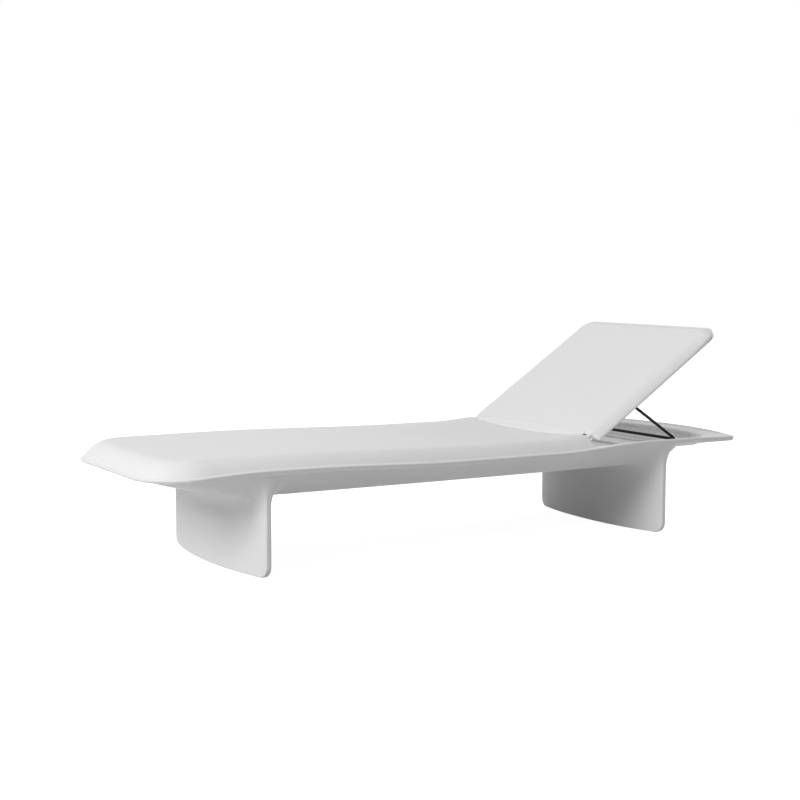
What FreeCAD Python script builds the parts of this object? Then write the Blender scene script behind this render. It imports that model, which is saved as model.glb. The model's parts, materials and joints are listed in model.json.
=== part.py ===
"""Moulded sun lounger with a reclining back, as a parametric document in millimetres.

The frame stands on the floor at z = 0, with +X towards the head and +Z up.
"""
import FreeCAD
import Part
import Sketcher

import math
import os

V = FreeCAD.Vector

# Driving sizes: alias, value in millimetres or degrees, meaning
SIZES = [
    ("body_length", 2050, "foot edge to the tip of the head edge"),
    ("body_width", 726, "across the rim"),
    ("rim_height", 294, "floor to the top of the rim"),
    ("rim_band", 16, "thickness of the rim"),
    ("foot_corner", 90, "plan radius of the foot corners"),
    ("head_corner", 30, "plan radius of the head corners"),
    ("head_radius", 897, "plan radius of the bowed head edge"),
    ("seat_rise", 38, "rim top to the lying surface"),
    ("seat_shoulder", 55, "slope width round the lying surface"),
    ("shell_wall", 5, "wall of the deck and hull mouldings"),
    ("rim_wall", 22, "width of the solid rim below the slope"),
    ("hull_drop", 62, "rim underside to the flat of the hull"),
    ("hull_inset", 10, "hull top edge inside the rim"),
    ("hull_side_run", 105, "rim edge to the flat of the hull, at the sides"),
    ("hull_end_run", 205, "rim edge to the flat of the hull, at the ends"),
    ("hull_floor_corner", 60, "plan radius of the hull flat"),
    ("tray_depth", 24, "rim top to the tray floor"),
    ("tray_ledge", 62, "rim edge to the tray wall, at the sides"),
    ("tray_head_ledge", 95, "rim edge to the tray wall, at the head"),
    ("tray_corner", 40, "plan radius of the tray corners"),
    ("ridge_height", 5, "height of the rack ridges"),
    ("ridge_pitch", 121, "distance between the rack ridges"),
    ("ridge_lead", 34.5, "crossbar to the ridge that stops it"),
    ("hinge_from_head", 633, "head tip to the hinge axis"),
    ("roll_radius", 16, "hinge axis to the lying surface"),
    ("hinge_gap", 1.2, "running gap between the seat and the back"),
    ("ear_reach", 30, "side ears of the seat beyond the hinge axis"),
    ("ear_gap", 2, "gap between an ear and the back"),
    ("recline", 33.5, "angle of the back as it stands"),
    ("recline_top", 69.5, "steepest angle of the back"),
    ("back_length", 596, "hinge axis to the top edge"),
    ("back_inset", 25, "rim edge to the edge of the back, at the hinge"),
    ("back_taper", 4, "hinge to the top edge of the back, narrower at each side"),
    ("back_corner", 50, "radius of the top corners"),
    ("back_shoulder", 26, "slope width round the back"),
    ("back_border", 20, "solid border of the back"),
    ("rest_gap", 2, "gap below the back when it lies flat"),
    ("liner_lip", 8, "wall outside the liner"),
    ("liner_gap", 0.5, "gap round the liner"),
    ("liner_wall", 4, "thickness of the liner"),
    ("liner_start", 26, "hinge axis to the liner"),
    ("liner_sink", 2, "liner face above the border edge"),
    ("screw_radius", 2, "liner and bracket screw shank"),
    ("screw_head", 4, "liner and bracket screw head radius"),
    ("screw_head_height", 1.6, "liner and bracket screw head"),
    ("liner_screw_grip", 11, "liner screw in the border"),
    ("lug_inset", 53, "edge of the back to the middle of a hinge lug"),
    ("lug_width", 26, "hinge lug, across"),
    ("lug_radius", 9.5, "hinge lug head"),
    ("knuckle_radius", 14, "hinge knuckle of the back"),
    ("knuckle_gap", 1, "side gap between lug and knuckle"),
    ("pin_radius", 4, "hinge pin"),
    ("pin_grip", 24, "hinge pin in the knuckle"),
    ("pin_head", 7, "hinge pin head radius"),
    ("pin_head_height", 3, "hinge pin head"),
    ("bush_wall", 1.5, "hinge bush"),
    ("running_gap", 0.05, "radial clearance of turning fits"),
    ("rod_radius", 5, "prop bail rod"),
    ("bail_inset", 122, "edge of the back at the hinge to the middle of a bail arm"),
    ("bail_bend", 18, "bend radius of the bail at its middle line"),
    ("pivot_reach", 237, "hinge axis to the bail pivot, along the back"),
    ("pivot_drop", 30, "hinge axis to the bail pivot, below the back"),
    ("groove_gap", 5.2, "crossbar above the tray floor"),
    ("bracket_gap", 2, "bail bend to the bracket"),
    ("bracket_width", 26, "bail bracket, across"),
    ("bracket_radius", 9, "bail bracket eye"),
    ("bracket_flange", 22, "half length of the bracket flange"),
    ("flange_wall", 3, "bracket flange and backing plate"),
    ("bracket_screw_pitch", 32, "between the screws of a bracket"),
    ("cap_gap", 0.4, "bracket to the bail end cap"),
    ("cap_width", 5, "bail end cap, across"),
    ("cap_wall", 2.5, "bail end cap round the rod"),
    ("foot_overhang", 338, "foot edge to the ends of the foot leg"),
    ("head_overhang", 338, "head tip to the ends of the head leg"),
    ("leg_inset", 43, "rim edge to the end of a leg, at each side"),
    ("leg_bow", 38, "bow of a leg towards the foot"),
    ("leg_thickness", 26, "leg, along"),
    ("leg_corner", 28, "radius of the lower leg corners"),
    ("leg_wall", 6, "wall of the hollow legs"),
    ("web_width", 44, "solid web round a leg bolt"),
    ("bolt_inset", 120, "end of a leg to its outer bolt"),
    ("bolt_pitch", 115, "between the two bolts of a side"),
    ("bolt_radius", 4, "leg bolt shank"),
    ("bolt_head", 6.5, "leg bolt head radius"),
    ("bolt_head_height", 5, "leg bolt head"),
    ("bolt_reach", 18, "leg bolt in its insert"),
    ("bolt_hole_gap", 0.5, "clearance hole round a leg bolt"),
    ("washer_radius", 10, "leg washer"),
    ("washer_height", 1.6, "leg washer"),
    ("insert_radius", 6, "threaded insert"),
    ("insert_height", 24, "threaded insert"),
]

doc = FreeCAD.newDocument("sun_lounger")
sizes = doc.addObject("Spreadsheet::Sheet", "sizes")
for row, (alias, value, meaning) in enumerate(SIZES, start=1):
    sizes.set(f"A{row}", meaning)
    sizes.set(f"B{row}", str(value))
    sizes.setAlias(f"B{row}", alias)
doc.recompute()

# Heights and places that several pieces share, as expressions on the sheet
RIM_TOP = "sizes.rim_height"
RIM_UNDER = "(sizes.rim_height - sizes.rim_band)"
SEAT_TOP = "(sizes.rim_height + sizes.seat_rise)"
HULL_UNDER = f"({RIM_UNDER} - sizes.hull_drop)"
HULL_FLOOR = f"({HULL_UNDER} + sizes.shell_wall)"
TRAY_FLOOR = "(sizes.rim_height - sizes.tray_depth)"
FOOT_X = "(-sizes.body_length / 2)"
HALF_WIDTH = "(sizes.body_width / 2)"
HEAD_CENTRE = "(sizes.body_length / 2 - sizes.head_radius)"
HINGE_X = "(sizes.body_length / 2 - sizes.hinge_from_head)"
HINGE_Z = f"({SEAT_TOP} - sizes.roll_radius)"
SEAT_END = "(sizes.roll_radius + sizes.hinge_gap)"
BACK_HALF = f"({HALF_WIDTH} - sizes.back_inset)"
BACK_SLOPE = "(sizes.back_taper / sizes.back_length)"
SLOT_HALF = f"({BACK_HALF} + sizes.ear_gap)"
BACK_UNDER = "(sizes.rest_gap - sizes.seat_rise + sizes.roll_radius)"
LINER_UNDER = f"({BACK_UNDER} + sizes.liner_sink)"
LINER_TOP = f"({LINER_UNDER} + sizes.liner_wall)"
LUG_MIDDLE = f"({BACK_HALF} - sizes.lug_inset)"
LUG_START = f"({LUG_MIDDLE} - sizes.lug_width / 2)"
LUG_END = f"({LUG_MIDDLE} + sizes.lug_width / 2)"
KNUCKLE_START = f"({LUG_END} + sizes.knuckle_gap)"
BUSH_RADIUS = "(sizes.pin_radius + sizes.running_gap + sizes.bush_wall)"
CROSSBAR_DROP = f"({HINGE_Z} - {TRAY_FLOOR} - sizes.groove_gap - sizes.rod_radius)"
ARM_RUN = f"(sizes.pivot_reach + {CROSSBAR_DROP} * sin(sizes.recline))"
ARM_RISE = f"({CROSSBAR_DROP} * cos(sizes.recline) - sizes.pivot_drop)"
ARM_LENGTH = f"sqrt({ARM_RUN}^2 + {ARM_RISE}^2)"
PIVOT_X = "(sizes.pivot_reach * cos(sizes.recline) + sizes.pivot_drop * sin(sizes.recline))"
CROSSBAR_X = f"({HINGE_X} + 2 * {PIVOT_X})"
HALF_SPAN = f"({BACK_HALF} - sizes.bail_inset)"
BRACKET_START = f"({HALF_SPAN} + sizes.bail_bend + sizes.bracket_gap)"
BRACKET_END = f"({BRACKET_START} + sizes.bracket_width)"
LEG_HALF = f"({HALF_WIDTH} - sizes.leg_inset)"
BOLT_OUTER = f"({LEG_HALF} - sizes.bolt_inset)"
BOLT_INNER = f"({BOLT_OUTER} - sizes.bolt_pitch)"
LEG_RADIUS = f"(({LEG_HALF}^2 + sizes.leg_bow^2) / (2 * sizes.leg_bow))"
LEG_ENDS = {
    "foot": "(sizes.foot_overhang - sizes.body_length / 2)",
    "head": "(sizes.body_length / 2 - sizes.head_overhang)",
}
EXTRA = 60


def number(expression):
    """The value of an expression on the sheet."""
    return float(sizes.evalExpression(expression))


def bind(piece, **expressions):
    for name, expression in expressions.items():
        piece.setExpression(name, expression)
    return piece


def put(piece, x="0", y="0", z="0"):
    """Bind the place of a piece's origin."""
    for axis, expression in (("x", x), ("y", y), ("z", z)):
        piece.setExpression(f"Placement.Base.{axis}", expression)
    return piece


def box(name, x, y, z):
    """A box between pairs of expressions along each axis."""
    piece = doc.addObject("Part::Box", name)
    put(piece, x[0], y[0], z[0])
    return bind(
        piece,
        Length=f"{x[1]} - ({x[0]})",
        Width=f"{y[1]} - ({y[0]})",
        Height=f"{z[1]} - ({z[0]})",
    )


TURNS = {
    "x": FreeCAD.Rotation(V(0, 1, 0), 90),
    "y": FreeCAD.Rotation(V(1, 0, 0), -90),
    "z": FreeCAD.Rotation(),
}


def cylinder(name, along, radius, start, end, **centre):
    """A cylinder along one axis from start to end, with its centre line at the other two."""
    piece = doc.addObject("Part::Cylinder", name)
    piece.Placement.Rotation = TURNS[along]
    centre[along] = start
    put(piece, **centre)
    return bind(piece, Radius=radius, Height=f"{end} - ({start})")


def fuse(name, *pieces):
    joined = doc.addObject("Part::MultiFuse", name)
    joined.Shapes = list(pieces)
    joined.Refine = True
    return joined


def cut(name, base, *tools):
    """The base less every tool."""
    result = doc.addObject("Part::Cut", name)
    result.Base = base
    result.Tool = tools[0] if len(tools) == 1 else fuse(f"{name}_tools", *tools)
    result.Refine = False
    return result


def common(name, *pieces):
    shared = doc.addObject("Part::MultiCommon", name)
    shared.Shapes = list(pieces)
    return shared


def group(name, pieces):
    """Separate solids that share one node."""
    together = doc.addObject("Part::Compound", name)
    together.Links = list(pieces)
    return together


def loft(name, *sketches):
    skin = doc.addObject("Part::Loft", name)
    skin.Sections = list(sketches)
    skin.Solid = True
    skin.Ruled = True
    return skin


def raise_sketch(name, sketch, height):
    prism = doc.addObject("Part::Extrusion", name)
    prism.Base = sketch
    prism.DirMode = "Custom"
    prism.Dir = V(0, 0, 1)
    prism.Solid = True
    return bind(prism, LengthFwd=height)


def arc(centre, radius, start, end):
    circle = Part.Circle(V(centre[0], centre[1], 0), V(0, 0, 1), radius)
    return Part.ArcOfCircle(circle, start, end)


def line(start, end):
    return Part.LineSegment(V(start[0], start[1], 0), V(end[0], end[1], 0))


def limit(sketch, name, expression, *constraint):
    """Add a named dimension to a sketch and bind it."""
    index = sketch.addConstraint(Sketcher.Constraint(*constraint, number(expression)))
    sketch.renameConstraint(index, name)
    sketch.setExpression(f"Constraints.{name}", expression)


X_AXIS, Y_AXIS = range(-1, -3, -1)
START, END, CENTRE = range(1, 4)
ORIGIN = (X_AXIS, START)


def plan_outline(name, z, inset, foot_corner, head_corner, foot_x=FOOT_X, head_inset=None):
    """A flat-footed outline with rounded corners and the bowed head edge, inset from the rim."""
    head_inset = head_inset or inset
    sketch = doc.addObject("Sketcher::SketchObject", name)
    foot_x = f"({foot_x} + {inset})" if foot_x == FOOT_X else foot_x
    put(sketch, x=foot_x, z=z)
    half = f"({HALF_WIDTH} - {inset})"
    bow = f"(sizes.head_radius - {head_inset})"
    reach = f"({HEAD_CENTRE} - ({foot_x}))"
    w, f, h, r, c = (number(value) for value in (half, foot_corner, head_corner, bow, reach))
    head_x = c + math.sqrt((r - h) ** 2 - (w - h) ** 2)
    swing = math.atan2(w - h, head_x - c)
    quarter = math.pi / 2
    sketch.addGeometry([
        line((0, w - f), (0, f - w)),
        arc((f, f - w), f, 2 * quarter, 3 * quarter),
        line((f, -w), (head_x, -w)),
        arc((head_x, h - w), h, -quarter, -swing),
        arc((c, 0), r, -swing, swing),
        arc((head_x, w - h), h, swing, quarter),
        line((head_x, w), (f, w)),
        arc((f, w - f), f, quarter, 2 * quarter),
    ])
    foot, near_foot, near, near_head, head, far_head, far, far_foot = range(8)
    for edge in range(8):
        following = (edge + 1) % 8
        sketch.addConstraint(Sketcher.Constraint("Tangent", edge, END, following, START))
    sketch.addConstraint([
        Sketcher.Constraint("PointOnObject", foot, START, Y_AXIS),
        Sketcher.Constraint("Symmetric", foot, START, foot, END, X_AXIS),
        Sketcher.Constraint("Horizontal", near),
        Sketcher.Constraint("Horizontal", far),
        Sketcher.Constraint("PointOnObject", head, CENTRE, X_AXIS),
        Sketcher.Constraint("Equal", near_foot, far_foot),
        Sketcher.Constraint("Equal", near_head, far_head),
    ])
    limit(sketch, "half_width", half, "DistanceY", near, START, *ORIGIN)
    limit(sketch, "foot_corner", foot_corner, "Radius", near_foot)
    limit(sketch, "head_corner", head_corner, "Radius", near_head)
    limit(sketch, "head_radius", bow, "Radius", head)
    limit(sketch, "head_centre", reach, "DistanceX", *ORIGIN, head, CENTRE)
    return sketch


def floor_outline(name, z, half_length, half_width, corner):
    """A rectangle with rounded corners, built from the same eight edges as the plan outline."""
    sketch = doc.addObject("Sketcher::SketchObject", name)
    put(sketch, z=z)
    a, b, r = (number(value) for value in (half_length, half_width, corner))
    quarter = math.pi / 2
    sketch.addGeometry([
        line((-a, b - r), (-a, r - b)),
        arc((r - a, r - b), r, 2 * quarter, 3 * quarter),
        line((r - a, -b), (a - r, -b)),
        arc((a - r, r - b), r, 3 * quarter, 4 * quarter),
        line((a, r - b), (a, b - r)),
        arc((a - r, b - r), r, 0, quarter),
        line((a - r, b), (r - a, b)),
        arc((r - a, b - r), r, quarter, 2 * quarter),
    ])
    for edge in range(8):
        following = (edge + 1) % 8
        sketch.addConstraint(Sketcher.Constraint("Tangent", edge, END, following, START))
    sketch.addConstraint([
        Sketcher.Constraint("Symmetric", 0, START, 0, END, X_AXIS),
        Sketcher.Constraint("Symmetric", 2, START, 2, END, Y_AXIS),
        Sketcher.Constraint("Equal", 1, 3),
        Sketcher.Constraint("Equal", 1, 5),
        Sketcher.Constraint("Equal", 1, 7),
    ])
    limit(sketch, "half_length", half_length, "DistanceX", 0, START, *ORIGIN)
    limit(sketch, "half_width", half_width, "DistanceY", 2, START, *ORIGIN)
    limit(sketch, "corner", corner, "Radius", 1)
    return sketch


def back_outline(name, z, inset, start="0"):
    """The tapered back with rounded top corners, inset from its edge, from the hinge up."""
    sketch = doc.addObject("Sketcher::SketchObject", name)
    put(sketch, x=start, z=z)
    foot = f"({BACK_HALF} - {inset} - ({start}) * {BACK_SLOPE})"
    length = f"(sizes.back_length - {inset} - ({start}))"
    corner = f"(sizes.back_corner - {inset})"
    w, a, r = (number(value) for value in (foot, length, corner))
    lean = math.atan(number(BACK_SLOPE))
    y = w - (a - r) * math.tan(lean) - r / math.cos(lean)
    side = (a - r + r * math.sin(lean), y + r * math.cos(lean))
    sketch.addGeometry([
        line((0, w), (0, -w)),
        line((0, -w), (side[0], -side[1])),
        arc((a - r, -y), r, lean - math.pi / 2, 0),
        line((a, -y), (a, y)),
        arc((a - r, y), r, 0, math.pi / 2 - lean),
        line(side, (0, w)),
    ])
    foot_edge, near, near_corner, top, far_corner, far = range(6)
    sketch.addConstraint([
        Sketcher.Constraint("Coincident", foot_edge, END, near, START),
        Sketcher.Constraint("Tangent", near, END, near_corner, START),
        Sketcher.Constraint("Tangent", near_corner, END, top, START),
        Sketcher.Constraint("Tangent", top, END, far_corner, START),
        Sketcher.Constraint("Tangent", far_corner, END, far, START),
        Sketcher.Constraint("Coincident", far, END, foot_edge, START),
        Sketcher.Constraint("PointOnObject", foot_edge, START, Y_AXIS),
        Sketcher.Constraint("Symmetric", foot_edge, START, foot_edge, END, X_AXIS),
        Sketcher.Constraint("Symmetric", top, START, top, END, X_AXIS),
        Sketcher.Constraint("Equal", near_corner, far_corner),
    ])
    limit(sketch, "foot_half", foot, "DistanceY", near, START, *ORIGIN)
    limit(sketch, "length", length, "DistanceX", *ORIGIN, top, START)
    limit(sketch, "corner", corner, "Radius", near_corner)
    index = sketch.addConstraint(Sketcher.Constraint("Angle", near, lean))
    sketch.renameConstraint(index, "lean")
    sketch.setExpression("Constraints.lean", f"atan({BACK_SLOPE})")
    return sketch


nodes = []


def node(piece, label):
    """Name a finished sub-part, which also names its file."""
    piece.Label = label
    nodes.append(piece)
    return piece


def both_sides(make):
    """Make a piece for the near side (-Y) and the far side (+Y)."""
    return [make("near", -1), make("far", 1)]


def span(side, inner, outer):
    """A pair of Y expressions on one side, lowest first."""
    if side > 0:
        return inner, outer
    return f"(-({outer}))", f"(-({inner}))"


# Hull outside and inside: the rim outline drawn down to the flat
def hull_solid(name, inset, floor_inset, top, floor):
    rim = plan_outline(
        f"{name}_rim", top, f"(sizes.hull_inset + {inset})",
        f"(sizes.foot_corner - sizes.hull_inset - {inset})",
        f"(sizes.head_corner - sizes.hull_inset - {inset})",
    )
    flat = floor_outline(
        f"{name}_flat", floor,
        f"(sizes.body_length / 2 - sizes.hull_end_run - {floor_inset})",
        f"({HALF_WIDTH} - sizes.hull_side_run - {floor_inset})",
        f"(sizes.hull_floor_corner - {floor_inset})",
    )
    return loft(name, rim, flat)


def bolt_places():
    """Name, leg end and Y of each leg bolt."""
    for leg_name, end in LEG_ENDS.items():
        for number_on_leg, y in enumerate((
            f"(-{BOLT_OUTER})", f"(-{BOLT_INNER})", BOLT_INNER, BOLT_OUTER,
        )):
            x = f"({end} - sizes.leg_bow + {LEG_RADIUS} - sqrt({LEG_RADIUS}^2 - {y}^2))"
            yield f"{leg_name}_{number_on_leg}", x, y


hull_outer = hull_solid("hull_outer", "0", "0", RIM_UNDER, HULL_UNDER)
hull_inner = hull_solid("hull_inner", "sizes.shell_wall", "sizes.shell_wall", RIM_UNDER, HULL_FLOOR)
hull_holes = [
    cylinder(
        f"hull_hole_{name}", "z", "sizes.bolt_radius + sizes.bolt_hole_gap",
        f"({HULL_UNDER} - {EXTRA})", f"({HULL_FLOOR} + 1)", x=x, y=y,
    )
    for name, x, y in bolt_places()
]
node(cut("hull", hull_outer, hull_inner, *hull_holes), "hull_shell")


# Deck: rim plate, raised seat and sunken tray in one moulding
rim_plate = raise_sketch(
    "rim_plate",
    plan_outline("rim_outline", RIM_UNDER, "0", "sizes.foot_corner", "sizes.head_corner"),
    "sizes.rim_band",
)
SLOPE = ((0, 0), (0.36, 0.62), (0.62, 0.87), (1, 1))


def seat_level(step, across, up):
    """One outline of the seat's soft slope, at a share of its width and rise."""
    inset = f"({across} * sizes.seat_shoulder)"
    head = f"(sizes.head_corner * (1 - {across} / 2))"
    foot = f"(sizes.foot_corner - {inset} / 2)"
    return plan_outline(f"seat_level_{step}", f"({RIM_TOP} + {up} * sizes.seat_rise)", inset, foot, head)


seat = loft("seat", *(seat_level(step, *share) for step, share in enumerate(SLOPE)))
TRAY_X = f"({HINGE_X} - {SEAT_END})"
tray_pan = raise_sketch(
    "tray_pan",
    plan_outline(
        "pan_outline", f"({TRAY_FLOOR} - sizes.shell_wall)", "(sizes.tray_ledge - sizes.shell_wall)",
        "sizes.tray_corner", "(sizes.tray_corner + sizes.shell_wall)", f"({TRAY_X} - sizes.shell_wall)",
        "(sizes.tray_head_ledge - sizes.shell_wall)",
    ),
    "sizes.tray_depth + sizes.shell_wall",
)
tray_well = raise_sketch(
    "tray_well",
    plan_outline(
        "well_outline", TRAY_FLOOR, "sizes.tray_ledge",
        "(sizes.tray_corner - sizes.shell_wall)", "sizes.tray_corner", TRAY_X, "sizes.tray_head_ledge",
    ),
    f"sizes.tray_depth + {EXTRA}",
)


def under_seat_level(step, inset, z):
    """One outline of the hollow under the seat, which stops short of the tray."""
    foot = f"(sizes.foot_corner - {inset} / 2)"
    sketch = floor_outline(
        f"under_seat_{step}", z,
        f"(({TRAY_X} - 2 * sizes.shell_wall - ({FOOT_X}) - {inset}) / 2)",
        f"({HALF_WIDTH} - {inset})", foot,
    )
    return put(sketch, x=f"(({TRAY_X} - 2 * sizes.shell_wall + {FOOT_X} + {inset}) / 2)", z=z)


under_seat = loft(
    "under_seat",
    under_seat_level(0, "sizes.rim_wall", f"({RIM_UNDER} - 1)"),
    under_seat_level(1, "(sizes.rim_wall + sizes.shell_wall)", f"({RIM_TOP} + sizes.seat_rise / 2)"),
    under_seat_level(2, "(sizes.seat_shoulder - sizes.shell_wall)", f"({SEAT_TOP} - sizes.shell_wall)"),
)

# Room for the back: the roll, the space over the tray and the back at its steepest
FAR_X = f"(sizes.body_length / 2 + {EXTRA})"
HIGH = f"({SEAT_TOP} + {EXTRA})"
SLOT = (f"(-{SLOT_HALF})", SLOT_HALF)
roll_room = cylinder("roll_room", "y", SEAT_END, *SLOT, x=HINGE_X, z=HINGE_Z)
low_room = box("low_room", (TRAY_X, FAR_X), SLOT, (RIM_TOP, HINGE_Z))
back_room = box("back_room", (HINGE_X, FAR_X), SLOT, (RIM_TOP, HIGH))
head_room = box(
    "head_room", (f"({HINGE_X} + sizes.ear_reach)", FAR_X),
    (f"(-{HALF_WIDTH} - 1)", f"({HALF_WIDTH} + 1)"), (RIM_TOP, HIGH),
)
steep_room = box("steep_room", ("0", str(2 * EXTRA)), SLOT, ("0", SEAT_END))
steep_turn = FreeCAD.Rotation(V(0, -1, 0), number("sizes.recline_top"))
steep_place = FreeCAD.Placement(V(number(HINGE_X), 0, number(HINGE_Z)), steep_turn)
steep_holder = doc.addObject("Part::Compound", "steep_holder")
steep_holder.Links = [steep_room]
steep_holder.Placement = steep_place


def lug(side_name, side):
    """A hinge lug that stands on the tray floor."""
    across = span(side, LUG_START, LUG_END)
    stem = box(
        f"{side_name}_lug_stem",
        (f"({HINGE_X} - sizes.lug_radius)", f"({HINGE_X} + sizes.lug_radius)"),
        across, (f"({TRAY_FLOOR} - 1)", HINGE_Z),
    )
    head = cylinder(f"{side_name}_lug_head", "y", "sizes.lug_radius", *across, x=HINGE_X, z=HINGE_Z)
    return fuse(f"{side_name}_lug", stem, head)


def lug_bore(side_name, side):
    across = span(side, f"({LUG_START} - sizes.lug_width / 2)", f"({LUG_END} + sizes.lug_width / 2)")
    return cylinder(f"{side_name}_lug_bore", "y", BUSH_RADIUS, *across, x=HINGE_X, z=HINGE_Z)


def ridge(step):
    """A half-round ridge of the rack across the tray floor."""
    x = f"({CROSSBAR_X} + sizes.ridge_lead - {step} * sizes.ridge_pitch)"
    half = f"({HALF_WIDTH} - sizes.tray_ledge - sizes.tray_corner)"
    piece = cylinder(f"ridge_{step}", "y", "sizes.ridge_height", f"(-{half})", half, x=x, z=TRAY_FLOOR)
    piece.Angle = 180
    piece.Placement.Rotation = FreeCAD.Rotation(V(0, 1, 0), 180).multiply(TURNS["y"])
    return piece


deck_block = fuse("deck_block", rim_plate, seat, tray_pan)
deck_hollow = cut(
    "deck_hollow", deck_block, under_seat, tray_well,
    roll_room, low_room, back_room, head_room, steep_holder,
)
deck_fitted = fuse("deck_fitted", deck_hollow, *both_sides(lug), *(ridge(step) for step in range(3)))
node(cut("deck", deck_fitted, *both_sides(lug_bore)), "deck_shell")


# Legs: bowed hollow blades, cut to the hull
def blade(name, end, inset):
    """A bowed blade with rounded lower corners, inset all round except at its top."""
    centre = f"({end} - sizes.leg_bow + {LEG_RADIUS})"
    half_wall = f"(sizes.leg_thickness / 2 - {inset})"
    outer = cylinder(f"{name}_outer", "z", f"{LEG_RADIUS} + {half_wall}", inset, RIM_UNDER, x=centre)
    inner = cylinder(
        f"{name}_inner", "z", f"{LEG_RADIUS} - {half_wall}", f"({inset} - 1)", f"({RIM_UNDER} + 1)", x=centre,
    )
    ring = cut(f"{name}_ring", outer, inner)
    along = (f"({end} - 2 * sizes.leg_bow - sizes.leg_thickness)", f"({end} + 2 * sizes.leg_thickness)")
    half = f"({LEG_HALF} - {inset})"
    corner = f"(sizes.leg_corner - {inset})"
    low = (inset, f"({inset} + {corner})")
    upper = box(f"{name}_upper", along, (f"(-{half})", half), (low[1], RIM_UNDER))
    sole = box(f"{name}_sole", along, (f"({corner} - {half})", f"({half} - {corner})"), low)
    corners = [
        cylinder(
            f"{name}_{side_name}_corner", "x", corner, *along,
            y=f"({side} * ({half} - {corner}))", z=low[1],
        )
        for side_name, side in (("near", -1), ("far", 1))
    ]
    return common(name, ring, fuse(f"{name}_profile", upper, sole, *corners))


def leg(name):
    end = LEG_ENDS[name]
    hollow = blade(f"{name}_hollow", end, "sizes.leg_wall")
    webs = []
    bores = []
    for place, x, y in bolt_places():
        if not place.startswith(name):
            continue
        webs.append(box(
            f"{place}_web", (f"({x} - sizes.web_width)", f"({x} + sizes.web_width)"),
            (f"({y} - sizes.web_width / 2)", f"({y} + sizes.web_width / 2)"), ("0", RIM_TOP),
        ))
        bores.append(cylinder(
            f"{place}_bore", "z", "sizes.insert_radius",
            f"({HULL_UNDER} - sizes.insert_height)", f"({HULL_UNDER} + 1)", x=x, y=y,
        ))
    pockets = cut(f"{name}_pockets", hollow, *webs)
    shaped = cut(f"{name}_shaped", blade(f"{name}_blade", end, "0"), hull_outer)
    return cut(f"{name}_leg_cut", shaped, pockets, *bores)


node(leg("foot"), "foot_leg")
node(leg("head"), "head_leg")

bolts = []
washers = []
inserts = []
WASHER_TOP = f"({HULL_FLOOR} + sizes.washer_height)"
for place, x, y in bolt_places():
    at = {"x": x, "y": y}
    shank = cylinder(
        f"{place}_shank", "z", "sizes.bolt_radius",
        f"({HULL_UNDER} - sizes.bolt_reach)", f"({WASHER_TOP} + 1)", **at,
    )
    head = cylinder(
        f"{place}_bolt_head", "z", "sizes.bolt_head", WASHER_TOP,
        f"({WASHER_TOP} + sizes.bolt_head_height)", **at,
    )
    bolts.append(fuse(f"{place}_bolt", shank, head))
    disc = cylinder(f"{place}_disc", "z", "sizes.washer_radius", HULL_FLOOR, WASHER_TOP, **at)
    eye = cylinder(
        f"{place}_eye", "z", "sizes.bolt_radius + sizes.bolt_hole_gap",
        f"({HULL_FLOOR} - 1)", f"({WASHER_TOP} + 1)", **at,
    )
    washers.append(cut(f"{place}_washer", disc, eye))
    sleeve = cylinder(
        f"{place}_sleeve", "z", "sizes.insert_radius",
        f"({HULL_UNDER} - sizes.insert_height)", HULL_UNDER, **at,
    )
    thread = cylinder(
        f"{place}_thread", "z", "sizes.bolt_radius + sizes.running_gap",
        f"({HULL_UNDER} - sizes.insert_height - 1)", f"({HULL_UNDER} + 1)", **at,
    )
    inserts.append(cut(f"{place}_insert", sleeve, thread))
node(group("bolt_group", bolts), "leg_bolts")
node(group("washer_group", washers), "leg_washers")
node(group("insert_group", inserts), "leg_inserts")


# Hinge bushes stand in the lugs
def bush(side_name, side):
    across = span(side, LUG_START, LUG_END)
    longer = span(side, f"({LUG_START} - sizes.lug_width / 2)", f"({LUG_END} + sizes.lug_width / 2)")
    at = {"x": HINGE_X, "z": HINGE_Z}
    sleeve = cylinder(f"{side_name}_bush_sleeve", "y", BUSH_RADIUS, *across, **at)
    hole = cylinder(f"{side_name}_bush_hole", "y", "sizes.pin_radius + sizes.running_gap", *longer, **at)
    return node(cut(f"{side_name}_bush", sleeve, hole), f"{side_name}_hinge_bush")


both_sides(bush)

# The back is drawn lying flat, with the hinge axis at its origin, and then turned up
hinge_point = V(number(HINGE_X), 0, number(HINGE_Z))
back_place = FreeCAD.Placement(hinge_point, FreeCAD.Rotation(V(0, -1, 0), number("sizes.recline")))


def back_node(piece, label):
    piece.Placement = back_place
    return node(piece, label)


BACK_RISE = f"(sizes.roll_radius - ({BACK_UNDER}))"


def back_level(step, across, up):
    inset = f"({across} * sizes.back_shoulder)"
    return back_outline(f"back_level_{step}", f"({BACK_UNDER} + {up} * {BACK_RISE})", inset)


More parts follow.
